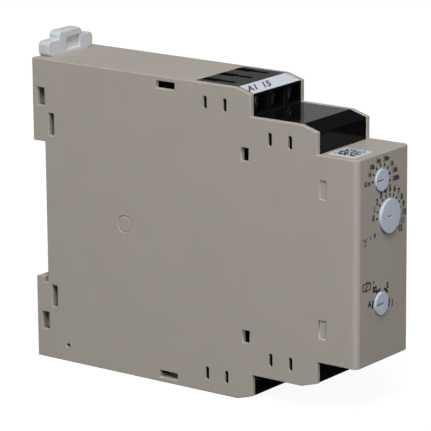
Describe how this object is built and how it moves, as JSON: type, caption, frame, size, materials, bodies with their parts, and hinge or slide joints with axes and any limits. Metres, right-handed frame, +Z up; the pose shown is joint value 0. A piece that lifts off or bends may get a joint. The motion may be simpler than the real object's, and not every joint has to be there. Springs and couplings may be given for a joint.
{
  "type": "din rail timer",
  "caption": "Slim rail-mounted time relay with stepped screw terminals, front setting dials and a sliding rail latch.",
  "frame": {"origin": "centre of the rail seat, the flat wall between the two rear feet that rests on the rail", "axes": "+X across the case, away from the side cover with the snap windows; +Y back into the rail; +Z up, towards the rail latch"},
  "size_m": [0.0226, 0.1007, 0.0849],
  "materials": {
    "case_plastic": "fine-textured moulded polycarbonate blend, warm grey beige",
    "terminal_plastic": "polished black moulding",
    "label_film": "satin white film",
    "contact_metal": "tin-plated",
    "screw_steel": "zinc-plated",
    "clamp_steel": "zinc-plated",
    "latch_plastic": "white acetal, slightly translucent",
    "spring_steel": "drawn wire",
    "dial_plastic": "translucent bluish white",
    "switch_plastic": "dark blue thermoset",
    "led_resin": "clear resin",
    "board_laminate": "green solder mask on glass laminate",
    "header_plastic": "black nylon",
    "relay_base_plastic": "black moulded",
    "relay_cover_plastic": "smoky blue",
    "copper_wire": "enamelled copper wire",
    "bobbin_plastic": "natural white",
    "relay_iron": "nickel-plated iron",
    "contact_copper": "copper alloy spring strip",
    "capacitor_sleeve": "shrink sleeve",
    "film_box": "yellow moulded box",
    "ferrite": "sintered ferrite",
    "winding_tape": "yellow polyester tape",
    "varistor_coat": "blue epoxy coat",
    "chip_epoxy": "moulded epoxy",
    "resistor_coat": "ceramic coat"
  },
  "bodies": {
    "case": {"housing": "case_plastic", "side_cover": "case_plastic", "terminal_block_top": "terminal_plastic", "terminal_block_bottom": "terminal_plastic", "blank_cover_top": "terminal_plastic", "blank_cover_bottom": "terminal_plastic", "terminal_label_top": "label_film", "terminal_label_bottom": "label_film", "code_label": "label_film", "contact_bars_top": "contact_metal", "contact_bars_bottom": "contact_metal", "latch_spring": "spring_steel", "range_switch": "switch_plastic", "time_potentiometer": "switch_plastic", "mode_switch": "switch_plastic", "indicator_leds": "led_resin", "front_board": "board_laminate", "main_board": "board_laminate", "board_header": "header_plastic", "relay_base": "relay_base_plastic", "relay_cover": "relay_cover_plastic", "relay_winding": "copper_wire", "relay_bobbin": "bobbin_plastic", "relay_core": "relay_iron", "relay_yoke": "relay_iron", "relay_fixed_contacts": "contact_copper", "smoothing_capacitor": "capacitor_sleeve", "output_capacitor": "capacitor_sleeve", "film_capacitor": "film_box", "transformer": "ferrite", "transformer_winding": "winding_tape", "varistor": "varistor_coat", "bridge_rectifier": "chip_epoxy", "controller_chip": "chip_epoxy", "fuse_resistor": "resistor_coat"},
    "latch": {"rail_latch": "latch_plastic"},
    "range_knob": {"range_dial": "dial_plastic"},
    "time_knob": {"time_dial": "dial_plastic"},
    "mode_knob": {"mode_dial": "dial_plastic"},
    "armature": {"relay_armature": "relay_iron", "relay_moving_contact": "contact_copper"},
    "screw_top_1_body": {"screw_top_1": "screw_steel"},
    "screw_top_2_body": {"screw_top_2": "screw_steel"},
    "screw_top_3_body": {"screw_top_3": "screw_steel"},
    "screw_bottom_1_body": {"screw_bottom_1": "screw_steel"},
    "screw_bottom_2_body": {"screw_bottom_2": "screw_steel"},
    "screw_bottom_3_body": {"screw_bottom_3": "screw_steel"},
    "clamp_top_1_body": {"clamp_top_1": "clamp_steel"},
    "clamp_top_2_body": {"clamp_top_2": "clamp_steel"},
    "clamp_top_3_body": {"clamp_top_3": "clamp_steel"},
    "clamp_bottom_1_body": {"clamp_bottom_1": "clamp_steel"},
    "clamp_bottom_2_body": {"clamp_bottom_2": "clamp_steel"},
    "clamp_bottom_3_body": {"clamp_bottom_3": "clamp_steel"}
  },
  "joints": [
    {"name": "latch_slide", "type": "slide", "parent": "case", "child": "latch", "axis": [0, 0, 1], "range_m": [0, 0.0035], "stiffness_N_per_m": 600, "springref_m": -0.004, "deforming": ["latch_spring"]},
    {"name": "range_turn", "type": "hinge", "parent": "case", "child": "range_knob", "pos_m": [-0.0011, -0.0963, 0.0194], "axis": [0, 1, 0], "range_deg": [0, 191]},
    {"name": "time_turn", "type": "hinge", "parent": "case", "child": "time_knob", "pos_m": [0.0022, -0.0963, 0.0099], "axis": [0, 1, 0], "range_deg": [0, 220]},
    {"name": "mode_turn", "type": "hinge", "parent": "case", "child": "mode_knob", "pos_m": [-0.00105, -0.0963, -0.0114], "axis": [0, 1, 0], "range_deg": [0, 180]},
    {"name": "screw_top_1_turn", "type": "hinge", "parent": "case", "child": "screw_top_1_body", "pos_m": [-0.0069, -0.0609, 0.03515], "axis": [0, 1, 0], "range_deg": [0, 2160]},
    {"name": "clamp_top_1_slide", "type": "slide", "parent": "case", "child": "clamp_top_1_body", "axis": [0, -1, 0], "range_m": [0, 0.003]},
    {"name": "screw_top_2_turn", "type": "hinge", "parent": "case", "child": "screw_top_2_body", "pos_m": [0, -0.0609, 0.03515], "axis": [0, 1, 0], "range_deg": [0, 2160]},
    {"name": "clamp_top_2_slide", "type": "slide", "parent": "case", "child": "clamp_top_2_body", "axis": [0, -1, 0], "range_m": [0, 0.003]},
    {"name": "screw_top_3_turn", "type": "hinge", "parent": "case", "child": "screw_top_3_body", "pos_m": [0.0069, -0.0609, 0.03515], "axis": [0, 1, 0], "range_deg": [0, 2160]},
    {"name": "clamp_top_3_slide", "type": "slide", "parent": "case", "child": "clamp_top_3_body", "axis": [0, -1, 0], "range_m": [0, 0.003]},
    {"name": "screw_bottom_1_turn", "type": "hinge", "parent": "case", "child": "screw_bottom_1_body", "pos_m": [-0.0069, -0.0609, -0.03515], "axis": [0, 1, 0], "range_deg": [0, 2160]},
    {"name": "clamp_bottom_1_slide", "type": "slide", "parent": "case", "child": "clamp_bottom_1_body", "axis": [0, -1, 0], "range_m": [0, 0.003]},
    {"name": "screw_bottom_2_turn", "type": "hinge", "parent": "case", "child": "screw_bottom_2_body", "pos_m": [0, -0.0609, -0.03515], "axis": [0, 1, 0], "range_deg": [0, 2160]},
    {"name": "clamp_bottom_2_slide", "type": "slide", "parent": "case", "child": "clamp_bottom_2_body", "axis": [0, -1, 0], "range_m": [0, 0.003]},
    {"name": "screw_bottom_3_turn", "type": "hinge", "parent": "case", "child": "screw_bottom_3_body", "pos_m": [0.0069, -0.0609, -0.03515], "axis": [0, 1, 0], "range_deg": [0, 2160]},
    {"name": "clamp_bottom_3_slide", "type": "slide", "parent": "case", "child": "clamp_bottom_3_body", "axis": [0, -1, 0], "range_m": [0, 0.003]},
    {"name": "armature_pivot", "type": "hinge", "parent": "case", "child": "armature", "pos_m": [-0.00494, -0.02142, 0], "axis": [0, 0, 1], "range_deg": [0, 5], "stiffness_Nm_per_rad": 0.01, "springref_deg": -8.59}
  ],
  "couplings": [
    {"joint": "screw_top_1_turn", "follows": "clamp_top_1_slide", "rad_per_m": 12566},
    {"joint": "screw_top_2_turn", "follows": "clamp_top_2_slide", "rad_per_m": 12566},
    {"joint": "screw_top_3_turn", "follows": "clamp_top_3_slide", "rad_per_m": 12566},
    {"joint": "screw_bottom_1_turn", "follows": "clamp_bottom_1_slide", "rad_per_m": 12566},
    {"joint": "screw_bottom_2_turn", "follows": "clamp_bottom_2_slide", "rad_per_m": 12566},
    {"joint": "screw_bottom_3_turn", "follows": "clamp_bottom_3_slide", "rad_per_m": 12566}
  ]
}
